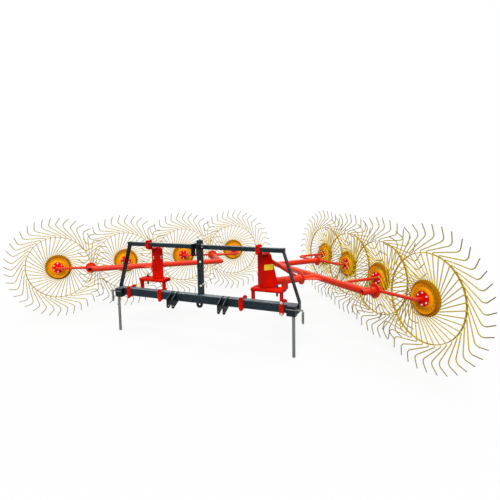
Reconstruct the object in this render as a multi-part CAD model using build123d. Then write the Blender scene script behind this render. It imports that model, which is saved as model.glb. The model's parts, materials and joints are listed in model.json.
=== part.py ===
from build123d import *
import math
import os

# Wheel rake for a three-point hitch: a slate frame carries two red arms set in a V, and each
# arm carries four tined wheels on cranks. Lengths are millimetres, angles are degrees.
# Machine datum while modelling: x to the right, y to the rear from the parking legs, z up from
# the ground. The finished pieces move back so that the origin is mid-way between the ends.

# Clearances
RUNNING_GAP = 0.3       # radial gap of a shaft in its bearing
THRUST_GAP = 0.4        # axial gap beside a collar or under a column
AXLE_END_GAP = 2.0      # room past the end of a wheel's axle

# Tined wheel
TINE_COUNT = 40
TINE_WIRE = 7.0         # section of a tine
TINE_ROOT_R = 110.0     # inner end, held between the hub plates
RIM_R = 432.0           # middle of the rim's hoop
RIM_SHEET = 6.0
RIM_DEPTH = 24.0        # hoop's width along the axle
TINE_BEND_R = 452.0     # where the tine bends, just outside the rim
ELBOW_R = 604.0
ELBOW_TRAIL = 27.4      # angle by which the elbow trails the spoke
TIP_R = 712.0
TIP_TRAIL = 22.0        # angle by which the tip trails the spoke

# Hub
PLATE_SHEET = 4.0
FRONT_PLATE_R = 152.0
REAR_PLATE_R = 176.0
CLAMP_INNER_R = 105.0   # inner edge of the flat ring that clamps the tines
CLAMP_OUTER_R = 130.0   # its outer edge, where the plate starts to flare
PLATE_FLARE = 9.0       # how far the rim of a plate stands off the tines
DISH_R = 88.0           # outer edge of the raised centre of a plate
DISH_DEPTH = 15.0
BEARING_R = 40.0
BEARING_NOSE_R = 27.0
BEARING_NOSE = 14.0     # length of the nose in front of the flange
BEARING_FLANGE_R = 75.0
BEARING_FLANGE_T = 8.0
BEARING_CAP_T = 8.0
BEARING_TAIL = 8.0      # how far the bearing shows behind the rear plate

# Wheel layout along one arm
RAKE_ANGLE = 40.0       # each arm's wheels turn away from straight ahead by this angle
WHEEL_PITCH = 921.0     # along the arm, wheel to wheel
WHEEL_STEP = 281.0      # each wheel stands this far behind the one in front of it
FRONT_WHEEL_S = 1754.0  # place of the foremost wheel, along the arm
FRONT_WHEEL_Q = 1668.0  # and across it
WHEELS_PER_ARM = 4

# Cranks and the cross tubes that carry them
CRANK_REACH = 460.0
CRANK_BAR_R = 17.5
COLLAR_LENGTH = 50.0
COLLAR_R = 42.0
INNER_BEND_R = 80.0     # bend of the long cranks, which carry the inner wheels
OUTER_BEND_R = 45.0     # bend of the short cranks, which carry the outer wheels
OUTER_SLANT = 50.0      # how far the short crank leans back before its bend
CROSS_R = 30.15
CROSS_WALL = 5.0
FLANGE_R = 75.0
FLANGE_T = 10.0
FLANGE_AHEAD = 190.0    # flange to the outer wheel's plane
RETAINER_R = 40.0
RETAINER_T = 8.0
CROSS_OVERHANG = 50.0   # front end of a cross tube, ahead of the main tube's axis

# Arm
ARM_R = 38.0
ARM_WALL = 5.0
ARM_GAP = 12.2          # main tube to the retainer on the front cross tube
OUTRIGGER_R = 44.5
OUTRIGGER_WALL = 6.0
OUTRIGGER_FLANGE_T = 12.0
SWING_BOSS_R = 40.0     # boss under the outrigger
SWING_BOSS_BACK = 240.0 # boss behind the pivot
SWING_BOSS_DROP = 58.0  # boss below the outrigger
NECK_LENGTH = 214.0     # end flange to the main tube's axis
GUSSET_T = 10.0
GUSSET_REACH = 240.0
BRACE_R = 21.0
BRACE_SETBACK = 20.0    # foot of the brace in front of the end flange
BRACE_DROP = 45.0       # top of the brace below the column's top

# Column
PIVOT_S = 405.0
PIVOT_Q = 694.0
COLUMN_WIDTH = 132.0
COLUMN_FRONT = 75.0     # front face to the pivot's axis
COLUMN_DEPTH_LOW = 197.0
COLUMN_DEPTH_TOP = 104.0
COLUMN_WALL = 8.0
COLUMN_TOP_Z = 1045.0
SLIT_WIDTH = 12.0
SLIT_HEIGHT = 64.0
SLIT_INSET = 20.0
SLIT_BELOW_TOP = 123.0
PIVOT_PIN_R = 15.0
FOOT_PIN_R = 25.0
FOOT_BOSS_R = 58.0
FOOT_BOSS_T = 6.0

# Frame
CORNER_WALLS = 1.6      # outer corner radius of a square tube, in walls
BEAM_SIZE = 96.0
BEAM_WALL = 6.0
BEAM_BOTTOM_Z = 455.0
BEAM_FRONT_Y = 26.0
BAR_SIZE = 50.0         # upper beam
BAR_WALL = 4.0
BAR_BOTTOM_Z = 1088.0
BAR_HALF = 1032.0       # middle of the machine to the upper beam's end
POST_T = 12.0           # side posts, flat bars on the ends of the beams
POST_DEPTH = 66.0
POST_RAISE = 30.0       # foot of a post above the lower beam's underside
POST_KNEE = 19.0        # its bend above the lower beam
MAST_DEPTH = 66.0
MAST_TOP_Z = 1192.0
MAST_WALL = 5.0

# Hitch
LINK_HALF = 341.5       # lower link points, half their spacing
LINK_GAP = 57.0         # between the two ears of a link point, and the mast's width
EAR_T = 12.0
LOWER_PIN_R = 11.2
LOWER_PIN_Y = -50.0
LOWER_PIN_Z = 412.0
LOWER_EAR_R = 30.0
LOWER_EAR_TOP = 12.0    # ear above the beam
LOWER_EAR_BACK = 52.0   # how far the ear lies over the beam
TOP_PIN_R = 9.7
TOP_PIN_REACH = 72.0    # ahead of the mast
TOP_PIN_Z = 1045.0
TOP_EAR_R = 28.0
TOP_EAR_LEG = 78.0      # width of the part that hangs in front of the mast
TOP_EAR_ROOT = 60.0     # height of the part bolted to the mast
TOP_EAR_BELOW = 32.0    # its upper edge below the mast's top
LUG_R = 42.0
LUG_T = 16.0
LUG_HOLE_R = 13.0
LUG_DROP = 14.0         # hole's axis below the beam
LUG_INSET = 12.0        # lug's front behind the beam's front

# Parking legs
LEG_X = 1172.0
LEG_R = 17.0
LEG_WALL = 4.0
LEG_SHOWS = 6.0         # leg above its sleeve
SLEEVE_DEPTH = 60.0
SLEEVE_OUTER = 30.0     # sleeve's outer end past the leg's axis
SLEEVE_INNER = 70.0     # and its inner end
SLEEVE_LOW = 12.0       # sleeve below the beam's underside
LOCK_PIN_R = 6.0
LOCK_PIN_REACH = 70.0
LOCK_PIN_BEND_R = 16.0
LOCK_PIN_DROP = 150.0
LOCK_PIN_Z = 517.0

# Carriers behind the lower beam, one under each column
CARRIER_SHIFT = 34.0    # middle of the carrier outside the pivot
BENCH_WIDTH = 374.0
BENCH_T = 40.0
BENCH_CLEAR = 7.0       # bench below the outrigger that swings over it
BENCH_FRONT = 86.0      # axis of the bench's round front edge ahead of the pivot
BENCH_BACK = 58.0       # its rear edge behind the pivot
CARRIER_PLATE_T = 12.0
CARRIER_INSET = 10.0    # carrier plate's edges inside the beam's height
BENCH_LEG_WIDTH = 30.0
BENCH_LEG_DEPTH = 40.0
CLAMP_SPREAD = 239.0    # clamps to each side of the carrier's middle
CLAMP_WIDTH = 50.0
CLAMP_T = 12.0
CLAMP_OVERLAP = 30.0    # clamp above and below the beam it grips
SWING_LOCK_R = 11.0
SWING_LOCK_X = 140.0
SWING_LOCK_Y = -30.0
SWING_LOCK_HEIGHT = 40.0
SWING_LOCK_DROP = 50.0  # below the bench
LUG_PLATE_T = 12.0
LUG_PLATE_WIDTH = 90.0
UPPER_CLAMP_WIDTH = 50.0
UPPER_CLAMP_SHIFT = -14.0   # upper clamp outside the pivot


# Small builders

def block(x0, x1, y0, y1, z0, z1):
    """Box between two corners."""
    size = Box(x1 - x0, y1 - y0, z1 - z0, align=(Align.MIN, Align.MIN, Align.MIN))
    return Pos(x0, y0, z0) * size


def bar(start, end, radius):
    """Round bar between two points."""
    first = Vector(*start)
    run = Vector(*end) - first
    rod = Cylinder(radius, run.length, align=(Align.CENTER, Align.CENTER, Align.MIN))
    return Plane(origin=first, z_dir=run.normalized()) * rod


def pipe(start, end, radius, wall):
    """Round tube between two points."""
    return bar(start, end, radius) - bar(start, end, radius - wall)


def bent_bar(points, radius, bend):
    """Round bar along straight runs joined by one bend radius."""
    first = Vector(*points[0])
    run = Vector(*points[1]) - first
    path = FilletPolyline(*points, radius=bend)
    return sweep(Plane(origin=first, z_dir=run.normalized()) * Circle(radius), path)


def slab(plane, points, thickness):
    """Flat plate with straight edges, pushed along the plane's normal."""
    return extrude(plane * make_face(Polyline(*points, close=True)), thickness)


def plate_across_x(x0, points, thickness):
    """Plate in a plane of constant x, outlined in y and z."""
    return slab(Plane(origin=(x0, 0, 0), x_dir=(0, 1, 0), z_dir=(1, 0, 0)), points, thickness)


def turned(points):
    """Solid of revolution about z from an outline of radius and height."""
    return revolve(Plane.XZ * make_face(Polyline(*points, close=True)), Axis.Z)


def polar(radius, angle):
    return Vector(radius * math.cos(math.radians(angle)), radius * math.sin(math.radians(angle)))


def both_sides(shape):
    """The shape and its mirror image in the machine's mid-plane."""
    return [shape, mirror(shape, about=Plane.YZ)]


# Tined wheel, drawn with its axle on z and its front towards +z

def tine_outline():
    """Bent wire seen along the axle: spoke, trailing run and turned-out tip, mitred."""
    spine = [
        polar(TINE_ROOT_R, 0),
        polar(TINE_BEND_R, 0),
        polar(ELBOW_R, -ELBOW_TRAIL),
        polar(TIP_R, -TIP_TRAIL),
    ]
    runs = [(b - a).normalized() for a, b in zip(spine, spine[1:])]
    left, right = [], []
    for index, point in enumerate(spine):
        before = runs[max(index - 1, 0)]
        after = runs[min(index, len(runs) - 1)]
        along = (before + after).normalized()
        across = Vector(-along.Y, along.X)
        half = TINE_WIRE / 2 / along.dot(after)
        left.append(point + across * half)
        right.append(point - across * half)
    return left + right[::-1]


def tine_angles():
    """Turn of each tine, set so that the wheel stands on two tips."""
    step = 360 / TINE_COUNT
    return [step * (index + 0.5) + TIP_TRAIL - 90 for index in range(TINE_COUNT)]


def lowest_tip():
    """Height of the axle above the ground the tips stand on."""
    corners = [point.rotate(Axis.Z, turn) for point in tine_outline() for turn in tine_angles()]
    return -min(corner.Y for corner in corners)


def tine_wheel():
    """Rim hoop with every tine laid across its front edge and joined to it."""
    front = TINE_WIRE / 2
    tine = slab(Plane.XY.offset(-front), tine_outline(), TINE_WIRE)
    outer = RegularPolygon(RIM_R + RIM_SHEET / 2, TINE_COUNT)
    inner = RegularPolygon(RIM_R - RIM_SHEET / 2, TINE_COUNT)
    hoop = extrude(Plane.XY.offset(-front - RIM_DEPTH) * (outer - inner), RIM_DEPTH)
    turn = tine_angles()[0] + 180 / TINE_COUNT
    return (Rot(0, 0, turn) * hoop) + [Rot(0, 0, angle) * tine for angle in tine_angles()]


def hub_plate(radius, facing):
    """Dished sheet with a flared rim that clamps the tine roots, facing +1 in front or -1 behind."""
    seat = TINE_WIRE / 2
    raised = seat + DISH_DEPTH
    hole = BEARING_R + RUNNING_GAP
    outline = [
        (CLAMP_INNER_R, seat),
        (CLAMP_OUTER_R, seat),
        (radius, seat + PLATE_FLARE),
        (radius, seat + PLATE_FLARE + PLATE_SHEET),
        (CLAMP_OUTER_R, seat + PLATE_SHEET),
        (CLAMP_INNER_R + PLATE_SHEET / 2, seat + PLATE_SHEET),
        (DISH_R + PLATE_SHEET / 2, raised + PLATE_SHEET),
        (hole, raised + PLATE_SHEET),
        (hole, raised),
        (DISH_R, raised),
    ]
    return turned([(r, facing * z) for r, z in outline])


def hub_bearing():
    """Turned bearing housing, flanged on the front plate and closed behind."""
    face = TINE_WIRE / 2 + DISH_DEPTH + PLATE_SHEET
    bore = CRANK_BAR_R + RUNNING_GAP
    tail = -face - BEARING_TAIL
    nose = face + BEARING_FLANGE_T + BEARING_NOSE
    return turned([
        (0, tail),
        (BEARING_R, tail),
        (BEARING_R, face),
        (BEARING_FLANGE_R, face),
        (BEARING_FLANGE_R, face + BEARING_FLANGE_T),
        (BEARING_NOSE_R, face + BEARING_FLANGE_T),
        (BEARING_NOSE_R, nose),
        (bore, nose),
        (bore, tail + BEARING_CAP_T),
        (0, tail + BEARING_CAP_T),
    ])


AXLE_Z = lowest_tip()
AXLE_BACK = TINE_WIRE / 2 + DISH_DEPTH + PLATE_SHEET + BEARING_TAIL - BEARING_CAP_T - AXLE_END_GAP

# One arm, drawn in its own frame: s along the wheels, q across them to the rear.
# Wheel number 1 is the rearmost and stands nearest the machine's mid-plane.

WHEEL_PLACES = {
    str(number): (
        FRONT_WHEEL_S - WHEEL_PITCH * (WHEELS_PER_ARM - number),
        FRONT_WHEEL_Q + WHEEL_STEP * (WHEELS_PER_ARM - number),
    )
    for number in range(1, WHEELS_PER_ARM + 1)
}

# Numbers of the inner and the outer wheel that each cross tube carries
CROSS_TUBES = {
    "front": ("3", "4"),
    "rear": ("1", "2"),
}


def cross_axis(place):
    """Place of a cross tube along the arm, and of its flange across it."""
    inner, outer = CROSS_TUBES[place]
    wheel_s, wheel_q = WHEEL_PLACES[outer]
    return wheel_s - CRANK_REACH, wheel_q - FLANGE_AHEAD


COLLAR_ROOM = FLANGE_T / 2 + 2 * THRUST_GAP + COLLAR_LENGTH   # flange's middle to a retainer
ARM_Q = cross_axis("front")[1] - COLLAR_ROOM - RETAINER_T - ARM_GAP - ARM_R
END_FLANGE_Q = ARM_Q - NECK_LENGTH


def spindle(place, start, discs):
    """Round tube that the crank collars turn on, closed behind, with discs of front, depth and radius."""
    s, flange_q = cross_axis(place)
    back = flange_q + COLLAR_ROOM + RETAINER_T
    rows = discs + [
        (flange_q - FLANGE_T / 2, FLANGE_T, FLANGE_R),
        (flange_q + COLLAR_ROOM, RETAINER_T, RETAINER_R),
    ]
    body = bar((s, start, AXLE_Z), (s, back, AXLE_Z), CROSS_R)
    for q, depth, radius in rows:
        body += bar((s, q, AXLE_Z), (s, q + depth, AXLE_Z), radius)
    return body - bar((s, start, AXLE_Z), (s, back - RETAINER_T, AXLE_Z), CROSS_R - CROSS_WALL)


def cross_tube_front():
    """Short tube across the front end of the main tube, open in front."""
    s, flange_q = cross_axis("front")
    retainer = flange_q - COLLAR_ROOM - RETAINER_T, RETAINER_T, RETAINER_R
    return spindle("front", ARM_Q - CROSS_OVERHANG, [retainer])


def rear_corner():
    """Mitre between the main tube and the rear cross tube."""
    s, flange_q = cross_axis("rear")
    return Plane(origin=(s, ARM_Q, AXLE_Z), x_dir=(1, 1, 0), z_dir=(1, -1, 0))


def cross_tube_rear():
    """Tube as thick as the main tube, mitred to its end, that carries a spindle behind."""
    s, flange_q = cross_axis("rear")
    back = flange_q - COLLAR_ROOM
    body = pipe((s, ARM_Q - 2 * ARM_R, AXLE_Z), (s, back, AXLE_Z), ARM_R, ARM_WALL)
    body = split(body, bisect_by=rear_corner(), keep=Keep.BOTTOM)
    cap = back - RETAINER_T, RETAINER_T, ARM_R
    return body + spindle("rear", back - RETAINER_T, [cap])


def crank(place, wheel):
    """Collar on a cross tube, an arm to one side and the axle that enters the wheel's hub."""
    s, flange_q = cross_axis(place)
    hub_s, hub_q = WHEEL_PLACES[wheel]
    outer = wheel == CROSS_TUBES[place][1]
    side = 1 if outer else -1
    middle = flange_q + side * (FLANGE_T / 2 + THRUST_GAP + COLLAR_LENGTH / 2)
    slant, bend = (OUTER_SLANT, OUTER_BEND_R) if outer else (0, INNER_BEND_R)
    ends = middle - COLLAR_LENGTH / 2, middle + COLLAR_LENGTH / 2
    spine = [
        (s, middle, AXLE_Z),
        (hub_s, middle + slant, AXLE_Z),
        (hub_s, hub_q + AXLE_BACK, AXLE_Z),
    ]
    collar = bar((s, ends[0], AXLE_Z), (s, ends[1], AXLE_Z), COLLAR_R)
    bore = bar((s, ends[0], AXLE_Z), (s, ends[1], AXLE_Z), CROSS_R + RUNNING_GAP)
    return collar + bent_bar(spine, CRANK_BAR_R, bend) - bore


def column_outline(inset, low, top):
    """Side of the column in q and z: upright in front, leaning forward behind."""
    front = PIVOT_Q - COLUMN_FRONT

    def rear(z):
        share = (z - COLUMN_LOW_Z) / (COLUMN_TOP_Z - COLUMN_LOW_Z)
        return front + COLUMN_DEPTH_LOW + share * (COLUMN_DEPTH_TOP - COLUMN_DEPTH_LOW)

    return [
        (front + inset, low),
        (rear(low) - inset, low),
        (rear(top) - inset, top),
        (front + inset, top),
    ]


BENCH_TOP_Z = AXLE_Z - OUTRIGGER_R - BENCH_CLEAR
COLUMN_LOW_Z = BENCH_TOP_Z + THRUST_GAP + FOOT_BOSS_T


def column_prism(inset=0.0):
    """Column's form, taken in by a wall where an inset is given."""
    outline = column_outline(inset, COLUMN_LOW_Z + inset, COLUMN_TOP_Z - inset)
    start = PIVOT_S - COLUMN_WIDTH / 2 + inset
    return plate_across_x(start, outline, COLUMN_WIDTH - 2 * inset)


def column():
    """Hollow welded column with slits near its edges and a pivot pin at each end."""
    body = column_prism() - column_prism(COLUMN_WALL)
    slit_z = COLUMN_TOP_Z - SLIT_BELOW_TOP
    for edge in (-1, 1):
        s = PIVOT_S + edge * (COLUMN_WIDTH / 2 - SLIT_INSET)
        body -= block(
            s - SLIT_WIDTH / 2, s + SLIT_WIDTH / 2,
            PIVOT_Q - COLUMN_DEPTH_LOW, PIVOT_Q + COLUMN_DEPTH_LOW,
            slit_z - SLIT_HEIGHT / 2, slit_z + SLIT_HEIGHT / 2,
        )
    axis = PIVOT_S, PIVOT_Q
    boss_z = COLUMN_LOW_Z - FOOT_BOSS_T
    body += bar((*axis, boss_z), (*axis, COLUMN_LOW_Z), FOOT_BOSS_R)
    body += bar((*axis, BENCH_TOP_Z - BENCH_T), (*axis, COLUMN_LOW_Z), FOOT_PIN_R)
    return body + bar((*axis, COLUMN_TOP_Z), (*axis, PIVOT_PIN_TOP_Z), PIVOT_PIN_R)


LUG_PLATE_Z = COLUMN_TOP_Z + THRUST_GAP
PIVOT_PIN_TOP_Z = LUG_PLATE_Z + LUG_PLATE_T + PIVOT_PIN_R


def arm_line(radius):
    """Main tube's outer form, from past the rear corner to the front cross tube's axis."""
    front, rear = cross_axis("front")[0], cross_axis("rear")[0]
    return bar((rear - 2 * ARM_R, ARM_Q, AXLE_Z), (front, ARM_Q, AXLE_Z), radius)


def arm_tube():
    """Main tube, mitred behind and coped against the front cross tube."""
    body = split(arm_line(ARM_R) - arm_line(ARM_R - ARM_WALL), bisect_by=rear_corner(), keep=Keep.TOP)
    s, flange_q = cross_axis("front")
    cope = bar((s, ARM_Q - 2 * ARM_R, AXLE_Z), (s, ARM_Q + 2 * ARM_R, AXLE_Z), CROSS_R)
    return max((body - cope).solids(), key=lambda piece: piece.volume)


def outrigger_line(radius):
    """Outrigger's round form, from the pivot to its end flange."""
    return bar((PIVOT_S, PIVOT_Q, AXLE_Z), (PIVOT_S, END_FLANGE_Q, AXLE_Z), radius)


def outrigger():
    """Flanged tube from the column to the main tube, with a boss below and a gusset beside its neck."""
    s = PIVOT_S
    boss_q = PIVOT_Q + SWING_BOSS_BACK
    boss_z = AXLE_Z - OUTRIGGER_R - SWING_BOSS_DROP
    body = outrigger_line(OUTRIGGER_R) + bar((s, boss_q, boss_z), (s, boss_q, AXLE_Z), SWING_BOSS_R)
    body -= outrigger_line(OUTRIGGER_R - OUTRIGGER_WALL)
    flange_back = END_FLANGE_Q + OUTRIGGER_FLANGE_T
    body += bar((s, END_FLANGE_Q, AXLE_Z), (s, flange_back, AXLE_Z), FLANGE_R)
    body += bar((s, END_FLANGE_Q, AXLE_Z), (s, ARM_Q, AXLE_Z), CROSS_R)
    gusset = [(s, flange_back), (s + FLANGE_R, flange_back), (s + GUSSET_REACH, ARM_Q), (s, ARM_Q)]
    body += slab(Plane.XY.offset(AXLE_Z - GUSSET_T / 2), gusset, GUSSET_T)
    body = body - column_prism() - arm_line(ARM_R)
    return max(body.solids(), key=lambda piece: piece.volume)


def arm_brace():
    """Stay from the back of the column down to the outrigger, near its end flange."""
    top = PIVOT_S, PIVOT_Q, COLUMN_TOP_Z - BRACE_DROP
    foot = PIVOT_S, END_FLANGE_Q - BRACE_SETBACK, AXLE_Z
    body = bar(top, foot, BRACE_R) - column_prism() - outrigger_line(OUTRIGGER_R)
    return max(body.solids(), key=lambda piece: piece.volume)


# Frame, drawn straight in the machine's datum

BEAM_TOP_Z = BEAM_BOTTOM_Z + BEAM_SIZE
BEAM_BACK_Y = BEAM_FRONT_Y + BEAM_SIZE
BAR_FRONT_Y = BEAM_BACK_Y - BAR_SIZE
BAR_TOP_Z = BAR_BOTTOM_Z + BAR_SIZE
MAST_FRONT_Y = BEAM_BACK_Y - MAST_DEPTH
BEAM_HALF = LEG_X + SLEEVE_OUTER


def box_tube(start, length, width, height, wall):
    """Rectangular tube with round corners, open at both ends, from the middle of its first end."""
    corner = CORNER_WALLS * wall
    outer = RectangleRounded(width, height, corner)
    inner = RectangleRounded(width - 2 * wall, height - 2 * wall, corner - wall)
    return extrude(start * (outer - inner), length)


def across(x, y, z):
    """Plane at a point, facing along x, its own x axis to the rear."""
    return Plane(origin=(x, y, z), x_dir=(0, 1, 0), z_dir=(1, 0, 0))


def lower_beam():
    """Square tube between the feet of the side posts."""
    middle = BEAM_FRONT_Y + BEAM_SIZE / 2, BEAM_BOTTOM_Z + BEAM_SIZE / 2
    return box_tube(across(-BEAM_HALF, *middle), 2 * BEAM_HALF, BEAM_SIZE, BEAM_SIZE, BEAM_WALL)


def upper_beam():
    """Square tube from the mast to each of the posts."""
    start = LINK_GAP / 2
    middle = BAR_FRONT_Y + BAR_SIZE / 2, BAR_BOTTOM_Z + BAR_SIZE / 2
    return both_sides(box_tube(across(start, *middle), BAR_HALF - start, BAR_SIZE, BAR_SIZE, BAR_WALL))


def side_posts():
    """Flat bars on the ends of the beams, bent above the lower beam and below the upper one."""
    foot, knee = BEAM_BOTTOM_Z + POST_RAISE, BEAM_TOP_Z + POST_KNEE
    lean = math.atan2(BEAM_HALF - BAR_HALF, BAR_BOTTOM_Z - knee)
    inner = [
        (BEAM_HALF, foot),
        (BEAM_HALF, knee),
        (BAR_HALF, BAR_BOTTOM_Z),
        (BAR_HALF, BAR_TOP_Z),
    ]
    rise = [0, POST_T * math.tan(lean / 2), POST_T * math.tan(lean / 2), 0]
    outer = [(x + POST_T, z + up) for (x, z), up in zip(inner, rise)]
    plane = Plane(origin=(0, BEAM_BACK_Y, 0), x_dir=(1, 0, 0), z_dir=(0, -1, 0))
    return both_sides(slab(plane, inner + outer[::-1], POST_DEPTH))


def hitch_mast():
    """Upright tube on the lower beam, flush with its back."""
    foot = Plane(origin=(0, BEAM_BACK_Y - MAST_DEPTH / 2, BEAM_TOP_Z))
    return box_tube(foot, MAST_TOP_Z - BEAM_TOP_Z, LINK_GAP, MAST_DEPTH, MAST_WALL)


def pair_of_ears(plate, centre):
    """Two equal plates, one at each side of a link's gap."""
    return [Pos(centre + offset, 0, 0) * plate for offset in (-LINK_GAP / 2 - EAR_T, LINK_GAP / 2)]


def top_link_ears():
    """Hooked ears on the sides of the mast, hanging in front of it for the top link."""
    pin_y = MAST_FRONT_Y - TOP_PIN_REACH
    front, low = pin_y - TOP_EAR_R, TOP_PIN_Z - TOP_EAR_R
    back = BAR_FRONT_Y
    high = MAST_TOP_Z - TOP_EAR_BELOW
    outline = [
        (back, high - TOP_EAR_ROOT),
        (back, high),
        (front, high),
        (front, TOP_PIN_Z),
        (pin_y, low),
        (front + TOP_EAR_LEG, low),
        (front + TOP_EAR_LEG, high - TOP_EAR_ROOT),
    ]
    pin = pin_y, TOP_PIN_Z
    plate = plate_across_x(0, outline, EAR_T) + bar((0, *pin), (EAR_T, *pin), TOP_EAR_R)
    plate -= bar((0, *pin), (EAR_T, *pin), TOP_PIN_R)
    return pair_of_ears(plate, 0)


def lower_link_ears():
    """Notched ears wrapped round the front of the lower beam for the two lower links."""
    outline = [
        (BEAM_FRONT_Y + LOWER_EAR_BACK, BEAM_TOP_Z),
        (BEAM_FRONT_Y + LOWER_EAR_BACK, BEAM_TOP_Z + LOWER_EAR_TOP),
        (BEAM_FRONT_Y, BEAM_TOP_Z + LOWER_EAR_TOP),
        (LOWER_PIN_Y - LOWER_EAR_R, BEAM_TOP_Z - LOWER_EAR_BACK),
        (LOWER_PIN_Y - LOWER_EAR_R, LOWER_PIN_Z),
        (LOWER_PIN_Y, LOWER_PIN_Z - LOWER_EAR_R),
        (BEAM_FRONT_Y + LOWER_EAR_BACK / 2, BEAM_BOTTOM_Z - LOWER_EAR_TOP),
        (BEAM_FRONT_Y + LOWER_EAR_BACK / 2, BEAM_BOTTOM_Z),
        (BEAM_FRONT_Y, BEAM_BOTTOM_Z),
        (BEAM_FRONT_Y, BEAM_TOP_Z),
    ]
    pin = LOWER_PIN_Y, LOWER_PIN_Z
    plate = plate_across_x(0, outline, EAR_T) + bar((0, *pin), (EAR_T, *pin), LOWER_EAR_R)
    plate -= bar((0, *pin), (EAR_T, *pin), LOWER_PIN_R)
    return [ear for side in (-1, 1) for ear in pair_of_ears(plate, side * LINK_HALF)]


def beam_lug():
    """Half-round drawbar lug under the middle of the beam."""
    front = BEAM_FRONT_Y + LUG_INSET
    hole_z = BEAM_BOTTOM_Z - LUG_DROP
    plate = bar((0, front, hole_z), (0, front + LUG_T, hole_z), LUG_R)
    plate += block(-LUG_R, LUG_R, front, front + LUG_T, hole_z, BEAM_BOTTOM_Z)
    plate -= block(-LUG_R, LUG_R, front, front + LUG_T, BEAM_BOTTOM_Z, BEAM_TOP_Z)
    return plate - bar((0, front, hole_z), (0, front + LUG_T, hole_z), LUG_HOLE_R)


LEG_Y = BEAM_FRONT_Y - SLEEVE_DEPTH / 2
SLEEVE_LOW_Z = BEAM_BOTTOM_Z - SLEEVE_LOW
SLEEVE_TOP_Z = BEAM_TOP_Z


def leg_sleeve():
    """Block on the front of the beam's end, bored for the parking leg."""
    body = block(LEG_X - SLEEVE_INNER, LEG_X + SLEEVE_OUTER, BEAM_FRONT_Y - SLEEVE_DEPTH, BEAM_FRONT_Y,
                 SLEEVE_LOW_Z, SLEEVE_TOP_Z)
    ends = (LEG_X, LEG_Y, SLEEVE_LOW_Z), (LEG_X, LEG_Y, SLEEVE_TOP_Z)
    return body - bar(*ends, LEG_R + RUNNING_GAP)


def parking_leg():
    return pipe((LEG_X, LEG_Y, 0), (LEG_X, LEG_Y, SLEEVE_TOP_Z + LEG_SHOWS), LEG_R, LEG_WALL)


def leg_lock_pin():
    """Bent pin through the sleeve's outer side, its handle hanging."""
    start = LEG_X + SLEEVE_OUTER
    corner = start + LOCK_PIN_REACH
    spine = [
        (start, LEG_Y, LOCK_PIN_Z),
        (corner, LEG_Y, LOCK_PIN_Z),
        (corner, LEG_Y, LOCK_PIN_Z - LOCK_PIN_DROP),
    ]
    return bent_bar(spine, LOCK_PIN_R, LOCK_PIN_BEND_R)


def arm_to_machine(s, q):
    """Point of the right arm's frame in the machine's datum."""
    turn = math.radians(RAKE_ANGLE)
    return s * math.cos(turn) + q * math.sin(turn), q * math.cos(turn) - s * math.sin(turn)


PIVOT_X, PIVOT_Y = arm_to_machine(PIVOT_S, PIVOT_Q)
CARRIER_X = PIVOT_X + CARRIER_SHIFT
UPPER_CLAMP_X = PIVOT_X + UPPER_CLAMP_SHIFT


def strip(middle, width, face, thickness, low, high):
    """Clamp strip with round ends that reaches past a beam's lower and upper side."""
    half = width / 2
    low, high = low - CLAMP_OVERLAP, high + CLAMP_OVERLAP
    body = block(middle - half, middle + half, face, face + thickness, low + half, high - half)
    for z in (low + half, high - half):
        body += bar((middle, face, z), (middle, face + thickness, z), half)
    return body


def carrier_base():
    """Plate behind the beam with the two legs of the bench the column turns on."""
    plate_back = BEAM_BACK_Y + CARRIER_PLATE_T
    reach = CLAMP_SPREAD + CLAMP_WIDTH / 2
    low, high = BEAM_BOTTOM_Z + CARRIER_INSET, BEAM_TOP_Z - CARRIER_INSET
    body = block(CARRIER_X - reach, CARRIER_X + reach, BEAM_BACK_Y, plate_back, low, high)
    for side in (-1, 1):
        body += strip(CARRIER_X + side * CLAMP_SPREAD, CLAMP_WIDTH, BEAM_BACK_Y, CARRIER_PLATE_T,
                      BEAM_BOTTOM_Z, BEAM_TOP_Z)
    bench_low = BENCH_TOP_Z - BENCH_T
    front, back = PIVOT_Y - BENCH_FRONT, PIVOT_Y + BENCH_BACK
    leg_back = front + BENCH_LEG_DEPTH
    left, right = CARRIER_X - BENCH_WIDTH / 2, CARRIER_X + BENCH_WIDTH / 2
    body += block(left, right, front, back, bench_low, BENCH_TOP_Z)
    edge = front, bench_low + BENCH_T / 2
    body += bar((left, *edge), (right, *edge), BENCH_T / 2)
    for start in (left, right - BENCH_LEG_WIDTH):
        end = start + BENCH_LEG_WIDTH
        body += block(start, end, plate_back, leg_back, low, high - BENCH_T)
        body += block(start, end, front, leg_back, low, bench_low)
    lock = PIVOT_X + SWING_LOCK_X, PIVOT_Y + SWING_LOCK_Y
    ends = (*lock, bench_low - SWING_LOCK_DROP), (*lock, BENCH_TOP_Z + SWING_LOCK_HEIGHT)
    body += bar(*ends, SWING_LOCK_R)
    ends = (PIVOT_X, PIVOT_Y, bench_low), (PIVOT_X, PIVOT_Y, BENCH_TOP_Z)
    return body - bar(*ends, FOOT_PIN_R + RUNNING_GAP)


def beam_clamps():
    """Strips that grip the beams from the front: place, width, beam's front, low and high side."""
    lower = BEAM_FRONT_Y, BEAM_BOTTOM_Z, BEAM_TOP_Z
    upper = BAR_FRONT_Y, BAR_BOTTOM_Z, BAR_TOP_Z
    strips = [
        (CARRIER_X - CLAMP_SPREAD, CLAMP_WIDTH, *lower),
        (CARRIER_X + CLAMP_SPREAD, CLAMP_WIDTH, *lower),
        (UPPER_CLAMP_X, UPPER_CLAMP_WIDTH, *upper),
    ]
    pieces = []
    for middle, width, face, low, high in strips:
        pieces += both_sides(strip(middle, width, face - CLAMP_T, CLAMP_T, low, high))
    return pieces


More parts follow.
